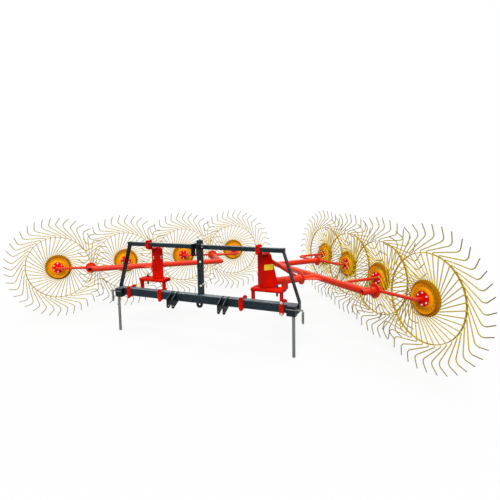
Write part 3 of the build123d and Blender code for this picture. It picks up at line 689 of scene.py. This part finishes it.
def hub_ribs(side, number):
    """Ribs pressed into both plates between the tine roots, out to the flared rims."""
    bm = bmesh.new()
    half_step = 180 / TINE_COUNT
    radii = [RIB_R * share for share in RIB_SHARES]
    for angle in spoke_angles(side, REAR_RIM):
        for way, rim in PLATE_RIMS:
            stations = [
                (CLAMP_RING, CLAMP_FACE),
                (CLAMP_EDGE, CLAMP_FACE),
                (rim - RIB_R, CLAMP_FACE + FLARE),
            ]
            path = [polar(radius, angle + half_step) + UP * (way * height) for radius, height in stations]
            sweep(bm, path, radii, RIB_SIDES)
    wheel_piece("hub_ribs", bm, side, number, HUB_PAINT, SMOOTH_ROUND)


def hub_rolls(side, number):
    """Rolled edges of both plates, painted dark brown as the shade between the plates."""
    bm = bmesh.new()
    spots = [polar(ROLL_R, angle) for angle in range(0, 360, ROLL_TURN)]
    for way, rim in PLATE_RIMS:
        height = way * (CLAMP_FACE + FLARE - PLATE_SHEET / 2)
        profile = [(rim - ROLL_R / 2 + spot.x, height + spot.y) for spot in spots]
        lathe(bm, Matrix.Identity(4), profile, ROLL_SEGMENTS, closed=True)
    wheel_piece("hub_rolls", bm, side, number, HUB_EDGE_SHADE, SMOOTH_ROUND)


def hub_fittings(side, number):
    """Bolts through the bearing flange with their nuts behind, and dark discs painted as the shade inside
    the plate's eyelet holes.
    """
    bm = bmesh.new()
    for index in range(HUB_BOLT_COUNT):
        spot = polar(HUB_BOLT_RING, 360 * (index + 0.5) / HUB_BOLT_COUNT)
        hex_head(bm, facing(spot + UP * FLANGE_FACE, UP), HUB_BOLT_SIZE)
        hex_head(bm, facing(spot + UP * REAR_FACE, -UP), HUB_BOLT_SIZE, stub=HUB_BOLT_STUB)
    wheel_piece("hub_bolts", bm, side, number, ZINC, SMOOTH_BOLT)
    # dark discs painted as the shade inside the eyelet holes
    bm = bmesh.new()
    profile = [(EYELET_R * share, height) for share, height in EYELET_PROFILE]
    for angle in spoke_angles(side, REAR_RIM)[::2]:
        spot = polar(EYELET_RING, angle) + UP * CLAMP_FACE
        lathe(bm, facing(spot, UP), profile, EYELET_STEPS)
    wheel_piece("hub_eyelet_shades", bm, side, number, HOLE_SHADE)


# Frame fittings

def clamp_bolts():
    """Bolts over and under the beams that hold each clamp, two of them unpainted."""
    painted, bare, shanks = bmesh.new(), bmesh.new(), bmesh.new()
    beam_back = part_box("lower_beam")[1].y
    clamps = solids("beam_clamps")
    for low, high in clamps:
        heads = bare if low is clamps[-1][0] else painted
        back = beam_back + high.y - low.y
        for z in (low.z + CLAMP_BOLT_INSET, high.z - CLAMP_BOLT_INSET):
            front = Vector(((low.x + high.x) / 2, low.y, z))
            tie_bolt(heads, shanks, front, Vector((front.x, back, z)), CLAMP_BOLT_SIZE)
    piece("clamp_bolts", painted, "frame", COLUMN_PAINT, smooth=SMOOTH_BOLT)
    piece("clamp_bolts_bare", bare, "frame", ZINC, smooth=SMOOTH_BOLT)
    piece("clamp_shanks", shanks, "frame", COLUMN_PAINT)


def mast_bolts():
    """Bolts through the mast from front to back and from side to side, and through the top ears."""
    heads, shanks = bmesh.new(), bmesh.new()
    low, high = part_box("hitch_mast")
    for z in MAST_BOLT_HEIGHTS:
        x = MAST_BOLT_SHIFT
        tie_bolt(heads, shanks, Vector((x, low.y, z)), Vector((x, high.y, z)), MAST_BOLT_SIZE)
    y, z = (low.y + high.y) / 2, MAST_SIDE_BOLT_Z
    tie_bolt(heads, shanks, Vector((high.x, y, z)), Vector((low.x, y, z)), MAST_BOLT_SIZE)
    low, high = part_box("top_link_ears")
    for drop in EAR_BOLT_DROPS:
        y, z = high.y - EAR_BOLT_INSET, high.z - drop
        tie_bolt(heads, shanks, Vector((high.x, y, z)), Vector((low.x, y, z)), EAR_BOLT_SIZE)
    piece("mast_bolts", heads, "frame", ZINC, smooth=SMOOTH_BOLT)
    piece("mast_shanks", shanks, "frame", DARK_STEEL)


def lock_pin_grips():
    """Loop of each lock pin in front of its sleeve, and the wire wound on its hanging grip."""
    loops, coils = bmesh.new(), bmesh.new()
    sleeves = solids("leg_sleeves")
    for way, (low, high), (sleeve_low, sleeve_high) in zip((-1, 1), solids("leg_lock_pins"), sleeves):
        pin_r = (high.y - low.y) / 2
        y = (low.y + high.y) / 2
        x = high.x - pin_r if way == 1 else low.x + pin_r
        top = high.z - pin_r
        front = sleeve_low.y - LOOP_R
        start = sleeve_low.x if way == 1 else sleeve_high.x
        corners = [Vector((start, front, top)), Vector((x, front, top)), Vector((x, y, top))]
        rod(loops, rounded(corners, [LOOP_BEND]), LOOP_R, LOOP_SIDES)
        lowest, highest = low.z + COIL_MARGIN, top - 2 * COIL_MARGIN
        turns = (highest - lowest) / COIL_PITCH
        count = round(turns) * COIL_STEPS
        spots = []
        for share in (index / count for index in range(count + 1)):
            middle = Vector((x, y, lowest + (highest - lowest) * share))
            spots.append(polar(COIL_R, 360 * turns * share) + middle)
        rod(coils, spots, COIL_WIRE, COIL_SIDES)
    piece("lock_pin_loops", loops, "frame", STEEL)
    piece("lock_pin_coils", coils, "frame", STEEL)


def swing_pins():
    """Dark steel ends of the pins that lock the arms' swing, over and under the benches."""
    bm = bmesh.new()
    end_r = SWING_PIN_R * SWING_PIN_CHAMFER
    for way in SIDES.values():
        place = Matrix.Translation((way * SWING_PIN_X, SWING_PIN_Y, 0))
        for bottom, top in ((SWING_PIN_LOW, SWING_BENCH_LOW), (SWING_BENCH_TOP, SWING_PIN_TOP)):
            profile = [
                (end_r, bottom),
                (SWING_PIN_R, bottom + SWING_PIN_R - end_r),
                (SWING_PIN_R, top - SWING_PIN_R + end_r),
                (end_r, top),
            ]
            lathe(bm, place, profile, SWING_PIN_STEPS)
    piece("swing_pins", bm, "frame", DARK_STEEL)


def frame_welds():
    """Weld beads where the plates and tubes of the frame meet."""
    bm = bmesh.new()
    rng = random.Random("frame welds")
    beam_low, beam_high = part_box("lower_beam")
    mast_low, mast_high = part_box("hitch_mast")
    bar_low, bar_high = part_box("upper_beam")
    foot = [
        (mast_low.x, mast_high.y),
        (mast_low.x, mast_low.y),
        (mast_high.x, mast_low.y),
        (mast_high.x, mast_high.y),
    ]
    bead(bm, [Vector((x, y, mast_low.z)) for x, y in foot], rng)
    for low, high in solids("lower_link_ears"):
        for x in (low.x, high.x):
            ends = max(low.z, beam_low.z), min(high.z, beam_high.z)
            bead(bm, [Vector((x, beam_low.y, z)) for z in ends], rng)
    for low, high in solids("leg_sleeves"):
        for x in (low.x, high.x):
            bead(bm, [Vector((x, beam_low.y, z)) for z in (beam_low.z, beam_high.z)], rng)
    for x in (mast_low.x, mast_high.x, bar_low.x, bar_high.x):
        corners = [(bar_low.y, bar_low.z), (bar_low.y, bar_high.z), (bar_high.y, bar_high.z)]
        bead(bm, [Vector((x, y, z)) for y, z in corners], rng)
    lug_low, lug_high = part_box("beam_lug")
    for y in (lug_low.y, lug_high.y):
        bead(bm, [Vector((x, y, beam_low.z)) for x in (lug_low.x, lug_high.x)], rng)
    piece("frame_welds", bm, "frame", FRAME_PAINT, smooth=SMOOTH_ROUND)


# Arm fittings

def arm_place(side):
    """Matrix of one arm's frame: s on x, q on y and height on z."""
    sign = SIDES[side]
    turn = math.radians(RAKE_ANGLE)
    s = Vector((sign * math.cos(turn), -math.sin(turn), 0))
    q = Vector((sign * math.sin(turn), math.cos(turn), 0))
    return Matrix.Translation(MACHINE_FRONT) @ Matrix((s, q, UP)).transposed().to_4x4()


def arm_welds(side):
    """Weld beads round the outrigger at the column, at its end flange and behind the flange."""
    bm = bmesh.new()
    rng = random.Random(f"arm welds {side}")
    tilt = math.radians(COLUMN_BACK_TILT)
    rings = [
        (COLUMN_BACK_Q, OUTRIGGER_R, Vector((0, math.cos(tilt), math.sin(tilt)))),
        (END_FLANGE_Q, OUTRIGGER_R, Vector((0, 1, 0))),
        (END_FLANGE_Q + END_FLANGE_T, NECK_R, Vector((0, 1, 0))),
    ]
    for q, radius, normal in rings:
        place = arm_place(side) @ facing(Vector((PIVOT_S, q, AXLE_Z)), normal)
        bead_ring(bm, place, radius, rng)
    piece(f"arm_welds_{side}", bm, f"arm_{side}", ARM_PAINT, smooth=SMOOTH_ROUND)


def label():
    """Blank yellow film on the outer face of the right column."""
    place = arm_place("right")
    corners = [place.inverted() @ vert.co for vert in NODES["column_right"].data.vertices]
    face = max(corner.x for corner in corners)
    front = min(corner.y for corner in corners) + LABEL_FRONT_GAP
    half = Vector((LABEL_WIDTH / 2, LABEL_HEIGHT / 2, 0))
    outline = []
    for start, x, y in ((0, 1, 1), (90, -1, 1), (180, -1, -1), (270, 1, -1)):
        middle = Vector((x * (half.x - LABEL_CORNER), y * (half.y - LABEL_CORNER), 0))
        outline += [middle + polar(LABEL_CORNER, start + turn) for turn in (0, 30, 60, 90)]
    bm = bmesh.new()
    back = [bm.verts.new(point - UP * LABEL_THICK) for point in outline]
    face_edge = [bm.verts.new(point + UP * LABEL_THICK) for point in outline]
    bridge(bm, back, face_edge)
    bm.faces.new(back[::-1])
    bm.faces.new(face_edge)
    middle = Vector((face, front + half.x, LABEL_LOW + half.y))
    piece("label", bm, "arm_right", LABEL_FILM, place @ facing(middle, Vector((1, 0, 0))))


# Studio

def seen_rays(tree):
    """One for rays that show the background: straight, in gloss or through glass."""
    path = tree.nodes.new("ShaderNodeLightPath")
    glossy = combine(tree, "MAXIMUM", path.outputs["Is Glossy Ray"], path.outputs["Is Transmission Ray"])
    return combine(tree, "MAXIMUM", path.outputs["Is Camera Ray"], glossy)


def world():
    """Dim white surroundings that show as plain white."""
    sky = bpy.data.worlds.new("studio")
    bpy.context.scene.world = sky
    sky.use_nodes = True
    tree = sky.node_tree
    tree.nodes.clear()
    light = tree.nodes.new("ShaderNodeBackground")
    light.inputs["Color"].default_value = SKY_COLOUR
    light.inputs["Strength"].default_value = SKY_STRENGTH
    white = tree.nodes.new("ShaderNodeBackground")
    white.inputs["Color"].default_value = WHITE
    mix = tree.nodes.new("ShaderNodeMixShader")
    output = tree.nodes.new("ShaderNodeOutputWorld")
    tree.links.new(seen_rays(tree), mix.inputs["Fac"])
    tree.links.new(light.outputs["Background"], mix.inputs[1])
    tree.links.new(white.outputs["Background"], mix.inputs[2])
    tree.links.new(mix.outputs["Shader"], output.inputs["Surface"])


def floor_material():
    """Matt floor that shows as white with a faint shadow, and throws back little light."""
    material = bpy.data.materials.new("floor")
    material.use_nodes = True
    tree = material.node_tree
    tree.nodes.clear()
    matt = tree.nodes.new("ShaderNodeBsdfDiffuse")
    tone = blend_colours(tree, seen_rays(tree), FLOOR_GREY, FLOOR_PALE)
    tree.links.new(tone, matt.inputs["Color"])
    white = tree.nodes.new("ShaderNodeEmission")
    white.inputs["Color"].default_value = WHITE
    away = distance(tree, tree.nodes.new("ShaderNodeTexCoord").outputs["Object"])
    whiteness = span(tree, away, SHADOW_NEAR, SHADOW_FAR, NEAR_WHITENESS, 1.0)
    mix = tree.nodes.new("ShaderNodeMixShader")
    output = tree.nodes.new("ShaderNodeOutputMaterial")
    tree.links.new(combine(tree, "MULTIPLY", seen_rays(tree), whiteness), mix.inputs["Fac"])
    tree.links.new(matt.outputs["BSDF"], mix.inputs[1])
    tree.links.new(white.outputs["Emission"], mix.inputs[2])
    tree.links.new(mix.outputs["Shader"], output.inputs["Surface"])
    return material


def floor():
    """Wide floor that is stage and not part of the machine."""
    mesh = bpy.data.meshes.new("floor")
    corners = [(x * FLOOR_REACH, y * FLOOR_REACH, 0) for x, y in ((-1, -1), (1, -1), (1, 1), (-1, 1))]
    mesh.from_pydata(corners, [], [(0, 1, 2, 3)])
    mesh.materials.append(floor_material())
    obj = bpy.data.objects.new("floor", mesh)
    bpy.context.scene.collection.objects.link(obj)


def lamps():
    """Wide soft suns: one overhead and one from the front, a little to the right."""
    rows = [
        # name, direction the light travels, strength, how wide the sun is
        ("overhead", (-0.10, -0.10, -1.0), 1.4, 45.0),
        ("key", (-0.20, 0.74, -0.66), 2.6, 35.0),
    ]
    for name, way, strength, width in rows:
        lamp = bpy.data.lights.new(name, "SUN")
        lamp.energy = strength
        lamp.angle = math.radians(width)
        obj = bpy.data.objects.new(name, lamp)
        bpy.context.scene.collection.objects.link(obj)
        obj.rotation_euler = Vector(way).to_track_quat("-Z", "Y").to_euler()


def camera():
    """Camera where the photograph was taken."""
    data = bpy.data.cameras.new("camera")
    data.sensor_width = SENSOR
    data.lens = LENS
    data.shift_y = CAMERA_SHIFT_Y
    obj = bpy.data.objects.new("camera", data)
    bpy.context.scene.collection.objects.link(obj)
    turn = Matrix.Rotation(math.radians(CAMERA_YAW), 4, "Z")
    turn @= Matrix.Rotation(math.radians(90 - CAMERA_DIP), 4, "X")
    turn @= Matrix.Rotation(math.radians(CAMERA_ROLL), 4, "Z")
    obj.matrix_world = Matrix.Translation(CAMERA_PLACE) @ turn
    bpy.context.scene.camera = obj


dress_nodes()
for side in SIDES:
    for number in WHEEL_NUMBERS:
        tines(side, number)
        hoop(side, number)
        hub_ribs(side, number)
        hub_rolls(side, number)
        hub_fittings(side, number)
    arm_welds(side)
clamp_bolts()
mast_bolts()
lock_pin_grips()
swing_pins()
frame_welds()
label()
bpy.context.scene.view_settings.view_transform = "Standard"
world()
floor()
lamps()
camera()
